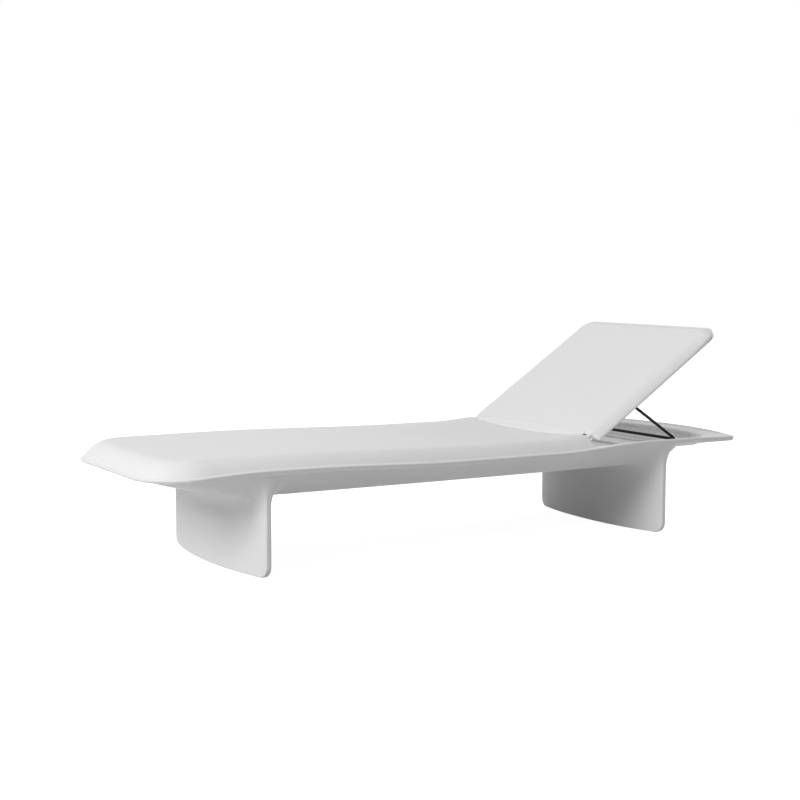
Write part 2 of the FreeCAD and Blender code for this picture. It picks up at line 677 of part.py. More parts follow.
LINER_X = "(sizes.liner_start - sizes.liner_gap)"
back_form = loft("back_form", *(back_level(step, *share) for step, share in enumerate(SLOPE)))
ACROSS = (f"(-{BACK_HALF})", BACK_HALF)
INSIDE = (f"(sizes.back_border - {BACK_HALF})", f"({BACK_HALF} - sizes.back_border)")
ROLL_ANGLE = 50
roll = cylinder("roll", "y", "sizes.roll_radius", *ACROSS)
roll.Angle = ROLL_ANGLE
roll.Placement.Rotation = FreeCAD.Rotation(V(0, -1, 0), 90 + ROLL_ANGLE).multiply(TURNS["y"])
roll_hollow = cylinder("roll_hollow", "y", "sizes.roll_radius - sizes.shell_wall", *INSIDE)
back_hollow = raise_sketch(
    "back_hollow", back_outline("hollow_outline", LINER_TOP, "sizes.back_border"),
    f"sizes.roll_radius - sizes.shell_wall - ({LINER_TOP})",
)
liner_room = raise_sketch(
    "liner_room", back_outline("liner_room_outline", f"({BACK_UNDER} - 1)", "sizes.liner_lip", LINER_X),
    "sizes.liner_sink + sizes.liner_wall + 1",
)
hinge_room = box(
    "hinge_room", ("(-sizes.roll_radius)", LINER_X), INSIDE,
    (f"({BACK_UNDER} - 1)", "(sizes.roll_radius - sizes.shell_wall)"),
)


def knuckle(side_name, side):
    across = span(side, KNUCKLE_START, BACK_HALF)
    return cylinder(f"{side_name}_knuckle", "y", "sizes.knuckle_radius", *across)


def pin_bore(side_name, side):
    across = span(side, f"({KNUCKLE_START} - 1)", f"({KNUCKLE_START} + sizes.pin_grip)")
    return cylinder(f"{side_name}_pin_bore", "y", "sizes.pin_radius", *across)


# Liner screws stand along both sides and the top edge, in the middle of the border's ledge
LEDGE = "((sizes.liner_lip + sizes.liner_gap + sizes.back_border) / 2)"
SCREW_SHARES = (0.12, 0.38, 0.64, 0.88)


def liner_screw_places():
    for step, share in enumerate(SCREW_SHARES):
        x = f"({share} * sizes.back_length)"
        y = f"({BACK_HALF} - {x} * {BACK_SLOPE} - {LEDGE})"
        yield f"near_{step}", x, f"(-{y})"
        yield f"far_{step}", x, y
    top = f"(sizes.back_length - {LEDGE})"
    for step, side in enumerate((-1, 0, 1)):
        yield f"top_{step}", top, f"({side} * ({BACK_HALF} - sizes.back_taper) / 2)"


SCREW_TOP = f"({LINER_TOP} + sizes.liner_screw_grip)"
liner_holes = [
    cylinder(f"liner_hole_{name}", "z", "sizes.screw_radius", f"({LINER_UNDER} - 1)", SCREW_TOP, x=x, y=y)
    for name, x, y in liner_screw_places()
]
back_block = fuse("back_block", back_form, roll)
back_open = cut("back_open", back_block, roll_hollow, back_hollow, liner_room, hinge_room)
back_fitted = fuse("back_fitted", back_open, *both_sides(knuckle))
back_node(cut("back", back_fitted, *both_sides(pin_bore), *liner_holes), "backrest_shell")

# Bail brackets hang under the liner, held through it to backing plates
PIVOT_Z = "(-sizes.pivot_drop)"
FLANGE_UNDER = f"({LINER_UNDER} - sizes.flange_wall)"
PLATE_TOP = f"({LINER_TOP} + sizes.flange_wall)"


def bracket_screw_places():
    for side_name, side in (("near", -1), ("far", 1)):
        for end_name, end in (("low", -1), ("high", 1)):
            x = f"(sizes.pivot_reach + {end} * sizes.bracket_screw_pitch / 2)"
            y = f"({side} * ({BRACKET_START} + sizes.bracket_width / 2))"
            yield f"{side_name}_{end_name}", x, y


bracket_holes = [
    cylinder(
        f"bracket_hole_{name}", "z", "sizes.screw_radius",
        f"({FLANGE_UNDER} - 1)", f"({PLATE_TOP} + 1)", x=x, y=y,
    )
    for name, x, y in bracket_screw_places()
]
liner_plate = raise_sketch(
    "liner_plate",
    back_outline("liner_outline", LINER_UNDER, "(sizes.liner_lip + sizes.liner_gap)", "sizes.liner_start"),
    "sizes.liner_wall",
)
back_node(cut("liner", liner_plate, *liner_holes, *bracket_holes), "backrest_liner")

liner_screws = []
for name, x, y in liner_screw_places():
    shank = cylinder(f"liner_shank_{name}", "z", "sizes.screw_radius", LINER_UNDER, SCREW_TOP, x=x, y=y)
    head = cylinder(
        f"liner_head_{name}", "z", "sizes.screw_head",
        f"({LINER_UNDER} - sizes.screw_head_height)", LINER_UNDER, x=x, y=y,
    )
    liner_screws.append(fuse(f"liner_screw_{name}", shank, head))
back_node(group("liner_screw_group", liner_screws), "liner_screws")

bracket_screws = []
for name, x, y in bracket_screw_places():
    shank = cylinder(f"bracket_shank_{name}", "z", "sizes.screw_radius", FLANGE_UNDER, PLATE_TOP, x=x, y=y)
    head = cylinder(
        f"bracket_head_{name}", "z", "sizes.screw_head",
        f"({FLANGE_UNDER} - sizes.screw_head_height)", FLANGE_UNDER, x=x, y=y,
    )
    bracket_screws.append(fuse(f"bracket_screw_{name}", shank, head))
back_node(group("bracket_screw_group", bracket_screws), "bracket_screws")

FLANGE_X = ("(sizes.pivot_reach - sizes.bracket_flange)", "(sizes.pivot_reach + sizes.bracket_flange)")
EYE = {"x": "sizes.pivot_reach", "z": PIVOT_Z}


def bracket(side_name, side):
    across = span(side, BRACKET_START, BRACKET_END)
    longer = span(side, f"({BRACKET_START} - 1)", f"({BRACKET_END} + 1)")
    flange = box(f"{side_name}_flange", FLANGE_X, across, (FLANGE_UNDER, LINER_UNDER))
    web = box(
        f"{side_name}_web",
        ("(sizes.pivot_reach - sizes.bracket_radius)", "(sizes.pivot_reach + sizes.bracket_radius)"),
        across, (PIVOT_Z, f"({FLANGE_UNDER} + 1)"),
    )
    eye = cylinder(f"{side_name}_eye", "y", "sizes.bracket_radius", *across, **EYE)
    hole = cylinder(f"{side_name}_eye_hole", "y", "sizes.rod_radius + sizes.running_gap", *longer, **EYE)
    body = fuse(f"{side_name}_bracket_body", flange, web, eye)
    return back_node(cut(f"{side_name}_bracket", body, hole, *bracket_holes), f"{side_name}_bail_bracket")


def backing_plate(side_name, side):
    bracket_y = span(side, BRACKET_START, BRACKET_END)
    plate = box(f"{side_name}_plate", FLANGE_X, bracket_y, (LINER_TOP, PLATE_TOP))
    return back_node(cut(f"{side_name}_backing", plate, *bracket_holes), f"{side_name}_backing_plate")


def pin(side_name, side):
    """A headed hinge pin, pressed into the knuckle and free to turn in the bush."""
    shank = cylinder(
        f"{side_name}_pin_shank", "y", "sizes.pin_radius",
        *span(side, f"({LUG_START} - 1)", f"({KNUCKLE_START} + sizes.pin_grip)"),
    )
    head = cylinder(
        f"{side_name}_pin_head", "y", "sizes.pin_head",
        *span(
            side,
            f"({LUG_START} - sizes.running_gap - sizes.pin_head_height)",
            f"({LUG_START} - sizes.running_gap)",
        ),
    )
    return back_node(fuse(f"{side_name}_pin", shank, head), f"{side_name}_hinge_pin")


both_sides(bracket)
both_sides(backing_plate)
both_sides(pin)

# The bail is drawn with its pivot axis at its origin and its arms along +X, and then turned down
PINTLE_END = f"({BRACKET_END} + sizes.cap_gap + sizes.cap_width)"


def bend(name, x, y, turn):
    """A quarter turn of the rod about a Z axis."""
    piece = doc.addObject("Part::Torus", name)
    piece.Angle3 = 90
    piece.Placement.Rotation = FreeCAD.Rotation(V(0, 0, 1), turn)
    put(piece, x=x, y=y)
    return bind(piece, Radius1="sizes.bail_bend", Radius2="sizes.rod_radius")


def bail_half(side_name, side):
    arm = cylinder(
        f"{side_name}_arm", "x", "sizes.rod_radius",
        "sizes.bail_bend", f"({ARM_LENGTH} - sizes.bail_bend)", y=f"({side} * {HALF_SPAN})",
    )
    pintle = cylinder(
        f"{side_name}_pintle", "y", "sizes.rod_radius",
        *span(side, f"({HALF_SPAN} + sizes.bail_bend)", PINTLE_END),
    )
    upper = bend(
        f"{side_name}_upper_bend", "sizes.bail_bend", f"({side} * ({HALF_SPAN} + sizes.bail_bend))",
        90 if side < 0 else 180,
    )
    lower = bend(
        f"{side_name}_lower_bend", f"({ARM_LENGTH} - sizes.bail_bend)",
        f"({side} * ({HALF_SPAN} - sizes.bail_bend))", -90 if side < 0 else 0,
    )
    return [arm, pintle, upper, lower]


crossbar = cylinder(
    "crossbar", "y", "sizes.rod_radius",
    f"(sizes.bail_bend - {HALF_SPAN})", f"({HALF_SPAN} - sizes.bail_bend)", x=ARM_LENGTH,
)
bail = fuse("bail", crossbar, *bail_half("near", -1), *bail_half("far", 1))
doc.recompute()
arm_angle = number("sizes.recline") + math.degrees(math.atan2(number(ARM_RISE), number(ARM_RUN)))
bail_turn = FreeCAD.Rotation(V(0, 1, 0), arm_angle)
pivot_point = back_place.multVec(V(number("sizes.pivot_reach"), 0, number(PIVOT_Z)))
bail_place = FreeCAD.Placement(pivot_point, bail_turn)
bail.Placement = bail_place
node(bail, "prop_bail")


def end_cap(side_name, side):
    """A push-on ring at the end of the bail."""
    across = span(side, f"({BRACKET_END} + sizes.cap_gap)", PINTLE_END)
    ring = cylinder(f"{side_name}_cap_ring", "y", "sizes.rod_radius + sizes.cap_wall", *across)
    hole = cylinder(f"{side_name}_cap_hole", "y", "sizes.rod_radius", *across)
    cap = cut(f"{side_name}_cap", ring, hole)
    cap.Placement = bail_place
    return node(cap, f"{side_name}_bail_cap")


both_sides(end_cap)

doc.recompute()
for piece in doc.Objects:
    if "Invalid" in piece.State or "Error" in piece.State:
        raise RuntimeError(f"{piece.Name} failed: {piece.State} {piece.getStatusString()}")
for piece in nodes:
    if piece.Shape.isNull() or not piece.Shape.isValid():
        raise RuntimeError(f"{piece.Label} has no valid shape")

os.makedirs("parts", exist_ok=True)
for piece in nodes:
    piece.Shape.exportStep(f"parts/{piece.Label}.step")
    low = piece.Shape.BoundBox
    print(
        f"{piece.Label}: {len(piece.Shape.Solids)} solids, {piece.Shape.Volume / 1e6:.3f} litres, "
        f"x {low.XMin:.1f} {low.XMax:.1f}, y {low.YMin:.1f} {low.YMax:.1f}, z {low.ZMin:.1f} {low.ZMax:.1f}"
    )
print("crossbar", bail_place.multVec(V(number(ARM_LENGTH), 0, 0)), "pivot", pivot_point, "hinge", hinge_point)
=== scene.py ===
# %% [markdown]
# # A moulded sun lounger, dressed over its CAD frame
#
# The real lounger is white moulded plastic: a long lying surface with soft shoulders, a boat-shaped
# underside on two bowed blades, and a back that a bent black rod props up. The CAD frame says where
# everything is. This lesson puts smooth mouldings, a real finish and studio light over it.

# %% Load the frame
import itertools
import json
import math

import bpy
import numpy as np
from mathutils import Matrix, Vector


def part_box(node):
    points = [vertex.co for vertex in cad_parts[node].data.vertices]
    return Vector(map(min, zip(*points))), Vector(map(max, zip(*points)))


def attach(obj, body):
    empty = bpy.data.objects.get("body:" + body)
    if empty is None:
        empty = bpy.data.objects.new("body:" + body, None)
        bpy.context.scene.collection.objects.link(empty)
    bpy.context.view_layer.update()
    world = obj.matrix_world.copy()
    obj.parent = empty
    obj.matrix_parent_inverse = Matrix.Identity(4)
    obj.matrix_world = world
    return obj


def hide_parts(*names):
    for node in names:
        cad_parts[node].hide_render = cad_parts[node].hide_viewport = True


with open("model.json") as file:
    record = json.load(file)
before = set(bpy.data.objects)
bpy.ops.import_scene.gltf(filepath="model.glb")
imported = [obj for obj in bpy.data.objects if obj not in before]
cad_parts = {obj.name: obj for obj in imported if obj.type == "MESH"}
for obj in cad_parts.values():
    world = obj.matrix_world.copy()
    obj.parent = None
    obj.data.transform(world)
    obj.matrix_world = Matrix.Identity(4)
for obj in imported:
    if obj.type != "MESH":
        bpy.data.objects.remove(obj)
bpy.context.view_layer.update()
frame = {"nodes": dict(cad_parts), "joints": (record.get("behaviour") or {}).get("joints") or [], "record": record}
joints = {joint["name"]: joint for joint in frame["joints"]}
hinge = Vector(joints["recline"]["pos_m"])
pivot = Vector(joints["bail_swing"]["pos_m"])

# %% [markdown]
# ## Camera
#
# The lounger is seen from the foot end and a little above its lying surface. A long lens keeps its sides
# almost parallel, so the camera stands more than four metres away. It looks down by some five degrees and
# is tilted by a hair.

# %% Camera
LOOK_DOWN, TILT, HEADING = 5.29, -0.134, -30.619
camera_data = bpy.data.cameras.new("camera")
camera_data.sensor_width = 36.0
camera_data.lens = 66.94
camera = bpy.data.objects.new("camera", camera_data)
camera.location = (-2.3910, -3.8847, 0.8493)
camera.rotation_euler = [math.radians(angle) for angle in (90 - LOOK_DOWN, TILT, HEADING)]
bpy.context.scene.collection.objects.link(camera)
bpy.context.scene.camera = camera
bpy.context.scene.view_settings.view_transform = "Standard"
print("camera", tuple(camera.location), "lens", camera_data.lens)

# %% [markdown]
# ## Shader maths
#
# A material here is a small graph of nodes. Writing the sums as Python keeps them readable, so one class
# wraps a socket: adding or multiplying two of them adds a Math node, and `node` makes anything else.

# %% Sockets with operators
class Wire:
    """A node tree's socket. Sums on it add Math nodes, and node() adds any other node."""

    def __init__(self, tree, socket=None):
        self.tree = tree
        self.socket = socket

    def node(self, kind, settings=None, sockets=None, out=0):
        made = self.tree.nodes.new(kind)
        for name, value in (settings or {}).items():
            setattr(made, name, value)
        for name, value in (sockets or {}).items():
            if isinstance(value, Wire):
                self.tree.links.new(value.socket, made.inputs[name])
            else:
                made.inputs[name].default_value = value
        return Wire(self.tree, made.outputs[out] if made.outputs else None)

    def sum_node(self, operation, first, second):
        return self.node("ShaderNodeMath", {"operation": operation}, {0: first, 1: second})

    def __add__(self, other):
        return self.sum_node("ADD", self, other)

    __radd__ = __add__

    def __rsub__(self, other):
        return self.sum_node("SUBTRACT", other, self)

    def __mul__(self, other):
        return self.sum_node("MULTIPLY", self, other)

    __rmul__ = __mul__


def finish_material(name):
    """A new material, with a wire to start its sums from and its Principled shader."""
    material = bpy.data.materials.new(name)
    material.use_nodes = True
    shader = material.node_tree.nodes["Principled BSDF"]
    return material, Wire(material.node_tree), shader


def plug(shader, name, wire):
    wire.tree.links.new(wire.socket, shader.inputs[name])


# %% [markdown]
# ## White moulded polyethylene
#
# Rotational moulding leaves a satin skin with a fine grain and a very slight orange peel. The grain is a
# noise at about a millimetre, the peel another at a few centimetres, and both go through a Bump node. The
# gloss drifts a little from place to place, as it does where the mould was hotter.

# %% White shell
def white_plastic():
    material, start, shader = finish_material("white_shell")
    place = start.node("ShaderNodeTexCoord", out=3)
    grain = start.node("ShaderNodeTexNoise", None, {"Vector": place, "Scale": 900.0, "Detail": 2.0})
    peel = start.node("ShaderNodeTexNoise", None, {"Vector": place, "Scale": 42.0, "Detail": 1.0})
    drift = start.node("ShaderNodeTexNoise", None, {"Vector": place, "Scale": 5.0, "Detail": 3.0})
    tint = start.node(
        "ShaderNodeMix",
        {"data_type": "RGBA"},
        {0: drift, 6: (0.80, 0.80, 0.80, 1.0), 7: (0.83, 0.83, 0.832, 1.0)},
        out=2,
    )
    height = 0.75 * grain + 0.6 * peel
    bump = start.node("ShaderNodeBump", None, {"Height": height, "Strength": 0.10, "Distance": 0.0006})
    plug(shader, "Base Color", tint)
    plug(shader, "Roughness", 0.40 + 0.10 * drift + 0.06 * grain)
    plug(shader, "Normal", bump)
    shader.inputs["IOR"].default_value = 1.5
    shader.inputs["Specular IOR Level"].default_value = 0.3
    return material


white_shell = white_plastic()
print("material", white_shell.name, len(white_shell.node_tree.nodes), "nodes")

# %% [markdown]
# ## Black rod, steel, brass and nylon
#
# The prop rod is powder coated: black, with a tight pebble and a dull sheen. The fasteners are stainless
# steel with brushed streaks, the inserts in the legs are brass, and the hinge bushes are dark nylon.

# %% Rod and fastener finishes
def powder_coat():
    material, start, shader = finish_material("black_rod")
    place = start.node("ShaderNodeTexCoord", out=3)
    pebble = start.node("ShaderNodeTexNoise", None, {"Vector": place, "Scale": 1400.0, "Detail": 2.0})
    dust = start.node("ShaderNodeTexNoise", None, {"Vector": place, "Scale": 60.0, "Detail": 3.0})
    shade = start.node(
        "ShaderNodeMix",
        {"data_type": "RGBA"},
        {0: dust, 6: (0.003, 0.003, 0.003, 1.0), 7: (0.007, 0.007, 0.007, 1.0)},
        out=2,
    )
    bump = start.node("ShaderNodeBump", None, {"Height": pebble, "Strength": 0.25, "Distance": 0.0003})
    plug(shader, "Base Color", shade)
    plug(shader, "Roughness", 0.45 + 0.18 * dust)
    shader.inputs["Specular IOR Level"].default_value = 0.3
    plug(shader, "Normal", bump)
    return material


def bare_metal(name, dull, bright):
    material, start, shader = finish_material(name)
    place = start.node("ShaderNodeTexCoord", out=3)
    stretched = start.node("ShaderNodeMapping", None, {"Vector": place, "Scale": (900.0, 60.0, 900.0)})
    streak = start.node("ShaderNodeTexNoise", None, {"Vector": stretched, "Scale": 1.0, "Detail": 2.0})
    shade = start.node("ShaderNodeMix", {"data_type": "RGBA"}, {0: streak, 6: dull, 7: bright}, out=2)
    bump = start.node("ShaderNodeBump", None, {"Height": streak, "Strength": 0.15, "Distance": 0.0002})
    plug(shader, "Base Color", shade)
    plug(shader, "Roughness", 0.24 + 0.16 * streak)
    plug(shader, "Normal", bump)
    shader.inputs["Metallic"].default_value = 1.0
    return material


def nylon():
    material, start, shader = finish_material("bush")
    place = start.node("ShaderNodeTexCoord", out=3)
    cloud = start.node("ShaderNodeTexNoise", None, {"Vector": place, "Scale": 220.0, "Detail": 3.0})
    shade = start.node(
        "ShaderNodeMix",
        {"data_type": "RGBA"},
        {0: cloud, 6: (0.08, 0.08, 0.085, 1.0), 7: (0.12, 0.12, 0.125, 1.0)},
        out=2,
    )
    plug(shader, "Base Color", shade)
    plug(shader, "Roughness", 0.42 + 0.14 * cloud)
    return material


finishes = {
    "white_shell": white_shell,
    "black_rod": powder_coat(),
    "steel": bare_metal("steel", (0.50, 0.50, 0.51, 1.0), (0.66, 0.66, 0.67, 1.0)),
    "brass": bare_metal("brass", (0.62, 0.46, 0.20, 1.0), (0.78, 0.62, 0.30, 1.0)),
    "bush": nylon(),
}
for row in frame["record"]["subparts"]:
    node = frame["nodes"][row["node"]]
    node.data.materials.clear()
    node.data.materials.append(finishes[row["material_slot"]])
print("finishes on", len(frame["nodes"]), "CAD nodes")

# %% [markdown]
# ## Mouldings from a distance rule
#
# A moulding has no sharp joins: the legs flow into the hull, and the shoulders into the lying surface.
# Such a shape is easiest to say as a rule that is negative inside the plastic and positive outside. Two
# shapes join softly by a blended minimum. The skin where the rule is zero becomes a mesh of quads: one
# point for each cell of a grid that the skin passes through, moved onto the skin exactly. The grid is fine
# where the shape turns and coarse where it is flat.

# %% Blends
def soft_min(a, b, width):
    near = np.maximum(width - np.abs(a - b), 0.0) / width
    return np.minimum(a, b) - near * near * width / 4


def soft_max(a, b, width):
    return -soft_min(-a, -b, width)


def corner(a, b, radius):
    """Two sides that meet in a round corner."""
    past = np.hypot(np.maximum(a + radius, 0.0), np.maximum(b + radius, 0.0))
    return np.minimum(np.maximum(a, b) + radius, 0.0) + past - radius


def ease(t):
    t = np.clip(t, 0.0, 1.0)
    return t * t * (3 - 2 * t)


def along(x, stations):
    """A height that eases from one station to the next."""
    height = np.full_like(x, stations[0][1])
    for (x0, h0), (x1, h1) in zip(stations, stations[1:]):
        height = height + (h1 - h0) * ease((x - x0) / (x1 - x0))
    return height


def steps(*spans):
    """Grid lines through spans of (start, end, step)."""
    lines = [
        np.linspace(start, end, max(2, round((end - start) / step) + 1))
        for start, end, step in spans
    ]
    return np.unique(np.round(np.concatenate(lines), 6))


def mirrored(half):
    return np.unique(np.concatenate([-half, half]))


# %% Skin of a rule
def gradient(rule, points, reach=2e-4):
    slopes = []
    for axis in range(3):
        shift = np.zeros(3)
        shift[axis] = reach
        ahead = rule(*(points + shift).T)
        behind = rule(*(points - shift).T)
        slopes.append((ahead - behind) / (2 * reach))
    return np.stack(slopes, axis=1)


def cell_points(value, places, cells):
    """One point in each cell that the skin passes through, and the number of each such cell."""
    def at(array, shift):
        return array[tuple(slice(s, s + n) for s, n in zip(shift, cells))]

    shifts = list(itertools.product((0, 1), repeat=3))
    count = sum(at(value < 0, shift).astype(np.int8) for shift in shifts)
    crossed = (count > 0) & (count < 8)
    number = np.full(crossed.shape, -1)
    number[crossed] = np.arange(crossed.sum())
    total = np.zeros((crossed.sum(), 3))
    hits = np.zeros((crossed.sum(), 1))
    for first, last in itertools.combinations(shifts, 2):
        if sum(abs(a - b) for a, b in zip(first, last)) != 1:
            continue
        v0, v1 = at(value, first)[crossed], at(value, last)[crossed]
        cut = (v0 < 0) != (v1 < 0)
        p0 = np.stack([at(place, first)[crossed] for place in places], axis=1)[cut]
        p1 = np.stack([at(place, last)[crossed] for place in places], axis=1)[cut]
        share = (v0[cut] / (v0[cut] - v1[cut]))[:, None]
        total[cut] += p0 + (p1 - p0) * share
        hits[cut] += 1
    return total / hits, number


def cell_quads(value, number):
    """A quad round each grid edge that the skin cuts, wound to face outwards."""
    quads = []
    inside = value < 0
    for axis in range(3):
        side, up = (axis + 1) % 3, (axis + 2) % 3
        low = [slice(1, -1)] * 3
        high = [slice(1, -1)] * 3
        low[axis], high[axis] = slice(None, -1), slice(1, None)
        begins = inside[tuple(low)]
        cut = np.argwhere(begins != inside[tuple(high)])
        outward = begins[tuple(cut.T)]
        cut[:, side] += 1
        cut[:, up] += 1
        ring = []
        for back_side, back_up in ((0, 0), (1, 0), (1, 1), (0, 1)):
            place = cut.copy()
            place[:, side] -= back_side
            place[:, up] -= back_up
            ring.append(number[tuple(place.T)])
        ring = np.stack(ring, axis=1)
        ring[~outward] = ring[~outward][:, ::-1]
        quads.append(ring)
    return np.concatenate(quads)


def moulding(name, rule, lines, warp, turn=None):
    """A closed mesh object of the skin of a rule, with the rule's own slopes as its normals."""
    places = warp(*np.meshgrid(*lines, indexing="ij"))
    value = rule(*places)
    points, number = cell_points(value, places, [n - 1 for n in value.shape])
    quads = cell_quads(value, number)
    for _ in range(5):
        slope = gradient(rule, points)
        size = np.maximum((slope * slope).sum(axis=1), 0.05)
        move = -(rule(*points.T) / size)[:, None] * slope
        far = np.linalg.norm(move, axis=1, keepdims=True)
        points = points + move * np.minimum(1.0, 0.003 / np.maximum(far, 1e-9))
    normals = gradient(rule, points)
    normals /= np.maximum(np.linalg.norm(normals, axis=1, keepdims=True), 1e-9)
    if turn:
        points, normals = turn(points), turn(normals, True)
    mesh = bpy.data.meshes.new(name)
    mesh.from_pydata(points.tolist(), [], quads.tolist())
    mesh.shade_smooth()
    mesh.normals_split_custom_set_from_vertices(normals.tolist())
    mesh.update()
    piece = bpy.data.objects.new(name, mesh)
    bpy.context.scene.collection.objects.link(piece)
    print(name, len(points), "points", 2 * len(quads), "triangles")
    return piece


# %% [markdown]
# ## Plan of the lounger
#
# Seen from above, the lounger is a long band with gently bowed sides, a straight foot edge with wide
# corners and a head edge that bows out with tight corners. The rim is not level: it lifts over the legs and
# dips between them. Behind the seat lies the tray, a well with a round foot to its walls.

# %% Plan and rim
FOOT_X, HEAD_CENTRE, HEAD_RADIUS = -1.025, 0.128, 0.897
HALF_WIDTH, SIDE_BOW, FOOT_CORNER, HEAD_CORNER = 0.363, 0.016, 0.150, 0.012
RIM_TOP, RIM_BAND, RIM_THINNING, THIN_START, THIN_RUN = 0.294, 0.016, 0.007, -0.70, 0.33
RIM_LIFT = [
    (-1.03, -0.007), (-0.70, 0.0065), (-0.56, 0.0055), (-0.10, -0.006), (0.26, -0.0066), (0.58, 0.0085),
    (0.76, 0.0075), (0.96, 0.003),
]


def half_width(x):
    return HALF_WIDTH - SIDE_BOW * x * x


def plan(x, y, inset=0.0, head_inset=None, head_corner=HEAD_CORNER):
    """Signed distance to the rim's outline, moved in by an inset."""
    head_inset = inset if head_inset is None else head_inset
    side = np.abs(y) - half_width(x) + inset
    foot = FOOT_X + inset - x
    head = np.hypot(x - HEAD_CENTRE, y) - HEAD_RADIUS + head_inset
    return np.where(x < 0, corner(side, foot, FOOT_CORNER), corner(side, head, head_corner))


def lift(x):
    return along(x, RIM_LIFT)


def band(x):
    """Height of the rim's edge, which thins towards the foot."""
    return RIM_BAND - RIM_THINNING * np.clip((THIN_START - x) / THIN_RUN, 0.0, 1.0)


TRAY_WALL = 0.005
TRAY_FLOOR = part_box("deck_shell")[0][2] + TRAY_WALL
TRAY_START, TRAY_LEDGE, TRAY_HEAD_LEDGE, TRAY_ROUND = 0.378, 0.062, 0.095, 0.030
TRAY_HEAD_CORNER, TRAY_HINGE_CORNER = 0.040, 0.012


def tray_plan(x, y):
    well = plan(x, y, TRAY_LEDGE, TRAY_HEAD_LEDGE, TRAY_HEAD_CORNER)
    return corner(well, TRAY_START - x, TRAY_HINGE_CORNER)


def tray_skin(x, y, z, grow=0.0):
    """The tray's room, grown by a wall. Its walls run into its floor in a wide round."""
    return soft_max(tray_plan(x, y) - grow, TRAY_FLOOR - grow - z, TRAY_ROUND)


def to_head(x, y, z):
    """Bend grid lines so that they run along the bowed sides and the bowed head edge."""
    y = y * half_width(x) / HALF_WIDTH
    bow = np.sqrt(HEAD_RADIUS**2 - y * y) - HEAD_RADIUS
    return x + bow * ease((x - 0.45) / 0.40), y, z


length = HEAD_CENTRE + HEAD_RADIUS - FOOT_X
print(f"plan {length:.3f} m long, {2 * HALF_WIDTH:.3f} m wide, tray floor at {TRAY_FLOOR:.4f} m")

# %% [markdown]
# ## Hull and legs
#
# The underside and the two blades are one flowing form. The hull hangs below the rim like a shallow boat,
# deep between the legs and rising to both ends. Each leg is a bowed plate with round lower corners, and a
# wide blend turns it into the hull. Only behind the ends of the head leg is the blend tight.

# %% Hull and legs
HULL_DROP, HULL_INSET, SIDE_RUN = 0.062, 0.010, 0.095
FOOT_RISE, HEAD_RISE, HEAD_INSET = 0.315, 0.060, 0.202
HULL_BLEND, HULL_CURVE = 0.3, 1.35
LEG_X, LEG_BOW, LEG_HALF, LEG_CORNER, LEG_THICK = 0.687, 0.038, 0.320, 0.032, 0.026
LEG_TAPER, LEG_EDGE, LEG_BLEND, TIGHT_BLEND = 0.010, 0.0035, 0.058, 0.014


def hull_face(x, y):
    """Height of the underside of the hull."""
    side = (-plan(x, y) - HULL_INSET) / SIDE_RUN
    foot = (x - FOOT_X - HULL_INSET) / FOOT_RISE
    from_head = np.hypot(np.maximum(x - HEAD_CENTRE, 0.0), y)
    head = (HEAD_RADIUS - HEAD_INSET - from_head) / HEAD_RISE
    depth = soft_min(soft_min(side, foot, HULL_BLEND), head, HULL_BLEND)
    inner = np.clip(depth, 0.0, 1.0)
    level = RIM_TOP - band(x) + lift(x) * (1 - inner)
    return level - HULL_DROP * (1 - (1 - inner) ** HULL_CURVE) + 0.5 * np.maximum(-depth, 0.0)


def leg_middle(y, end_x):
    """Where the middle of a leg's bowed plate stands."""
    return end_x - LEG_BOW * (1 - (y / LEG_HALF) ** 2)


def leg(x, y, z, end_x):
    middle = leg_middle(y, end_x)
    slope = 2 * LEG_BOW * y / LEG_HALF**2
    thick = LEG_THICK - LEG_TAPER * (y / LEG_HALF) ** 2
    across = (np.abs(x - middle) - thick / 2) / np.sqrt(1 + slope * slope)
    outline = corner(np.abs(y) - LEG_HALF, -z, LEG_CORNER)
    return corner(across, outline, LEG_EDGE)


def body_rule(x, y, z):
    hull = (hull_face(x, y) - z) * 0.8
    legs = np.minimum(leg(x, y, z, -LEG_X), leg(x, y, z, LEG_X))
    behind = ease((x - leg_middle(y, LEG_X)) / 0.020) * ease((np.abs(y) - 0.20) / 0.09)
    outside = soft_min(hull, legs, LEG_BLEND - (LEG_BLEND - TIGHT_BLEND) * behind)
    outside = np.maximum(outside, (z - (RIM_TOP - band(x) + lift(x) + 0.004)) * 0.8)
    return np.maximum(outside, -tray_skin(x, y, z, 0.6 * TRAY_WALL))


def along_legs(x, y, z):
    """Bend grid lines along the bow of the legs."""
    y = y * half_width(x) / HALF_WIDTH
    bow = -LEG_BOW * (1 - (y / LEG_HALF) ** 2)
    window = 1 - ease((np.abs(np.abs(x) - LEG_X) - 0.09) / 0.16)
    return x + bow * window, y, z


body_lines = (
    steps((-1.04, -0.78, 0.012), (-0.78, -0.725, 0.006), (-0.725, -0.65, 0.003), (-0.65, -0.59, 0.006),
          (-0.59, 0.59, 0.016), (0.59, 0.65, 0.006), (0.65, 0.725, 0.003), (0.725, 0.78, 0.006),
          (0.78, 1.04, 0.010)),
    mirrored(steps((0.0, 0.25, 0.0125), (0.25, 0.285, 0.006), (0.285, 0.365, 0.0033))),
    steps((-0.006, 0.036, 0.003), (0.036, 0.18, 0.012), (0.18, 0.30, 0.003)),
)
body = moulding("hull_and_legs", body_rule, body_lines, along_legs)
body.data.materials.append(white_shell)
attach(body, "base")
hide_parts("hull_shell", "foot_leg", "head_leg")

# %% [markdown]
# ## Deck
#
# The deck is the rim, the pillow-like seat and the tray behind it. The seat's shoulder is round: steep where
# it leaves the rim and flat where it meets the lying surface, which dips a little towards the hinge. A
# pocket in the seat's end lets the foot of the back turn, with a small one at each side for its knuckle.

